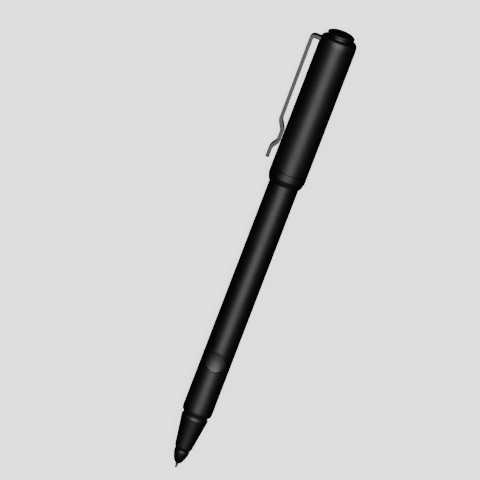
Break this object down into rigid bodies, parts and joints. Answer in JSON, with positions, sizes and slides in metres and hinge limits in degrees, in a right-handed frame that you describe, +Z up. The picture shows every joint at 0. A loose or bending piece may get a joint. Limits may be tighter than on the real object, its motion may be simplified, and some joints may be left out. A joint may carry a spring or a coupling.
{
  "type": "technical pen",
  "caption": "Slim cylindrical technical drawing pen with conical nib section, round barrel window and a push-on cap with spring clip posted on its tail.",
  "frame": {"origin": "on the ground under the middle of the bounding box, pen lying on cap and clip", "axes": "+X along the pen towards the writing tip, +Z up, clip low on the -Y side"},
  "size_m": [0.1542, 0.0152, 0.0123],
  "materials": {
    "satin_black": "fine satin, near black",
    "seal_rubber": "matt black",
    "black_steel": "blackened spring steel, satin",
    "bright_steel": "bright drawn steel",
    "smoked_inlay": "smoked black, soft gloss",
    "milky_plastic": "milky translucent",
    "inner_plastic": "plain dark grey moulding"
  },
  "bodies": {
    "pen_barrel": {"barrel": "satin_black", "ink_window": "smoked_inlay", "window_bezel": "satin_black", "size_band": "satin_black", "barrel_end_plug": "satin_black", "plug_seal": "seal_rubber"},
    "tail_ring": {"tail_ring": "seal_rubber"},
    "cap": {"cap_shell": "satin_black", "cap_collar": "satin_black", "cap_grip_ring": "seal_rubber", "cap_liner": "inner_plastic", "cup_stop_ring": "inner_plastic", "clip_root": "black_steel", "cap_spring": "bright_steel", "finial": "satin_black"},
    "clip": {"clip_arm": "black_steel"},
    "seal": {"seal_cup": "seal_rubber"},
    "section_ring": {"section_seal": "seal_rubber"},
    "section": {"nib_cone": "satin_black", "nib_ferrule": "satin_black", "nib_tube": "bright_steel", "nib_body": "inner_plastic", "weight_keeper": "inner_plastic", "cartridge": "milky_plastic", "cartridge_collar": "inner_plastic"},
    "weight": {"drop_weight": "bright_steel", "cleaning_wire": "bright_steel"}
  },
  "joints": [
    {"name": "cap_turn", "type": "hinge", "parent": "pen_barrel", "child": "tail_ring", "pos_m": [0.00005, 0.00141, 0.00615], "axis": [1, 0, 0], "continuous": true},
    {"name": "cap_pull", "type": "slide", "parent": "tail_ring", "child": "cap", "axis": [-1, 0, 0], "range_m": [0, 0.045]},
    {"name": "clip_flex", "type": "hinge", "parent": "cap", "child": "clip", "pos_m": [-0.07293, -0.00436, 0.00282], "axis": [0, 0.5, -0.866], "range_deg": [0, 4], "stiffness_Nm_per_rad": 0.05},
    {"name": "seal_press", "type": "slide", "parent": "cap", "child": "seal", "axis": [-1, 0, 0], "range_m": [0, 0.0012], "stiffness_N_per_m": 60, "deforming": ["cap_spring"]},
    {"name": "section_out", "type": "slide", "parent": "pen_barrel", "child": "section_ring", "axis": [1, 0, 0], "range_m": [0, 0.004]},
    {"name": "section_unscrew", "type": "hinge", "parent": "section_ring", "child": "section", "pos_m": [0.00005, 0.00141, 0.00615], "axis": [1, 0, 0], "range_deg": [0, 1800]},
    {"name": "weight_drop", "type": "slide", "parent": "section", "child": "weight", "axis": [-1, 0, 0], "range_m": [0, 0.0025]}
  ],
  "couplings": [
    {"joint": "section_unscrew", "follows": "section_out", "rad_per_m": 7854}
  ]
}
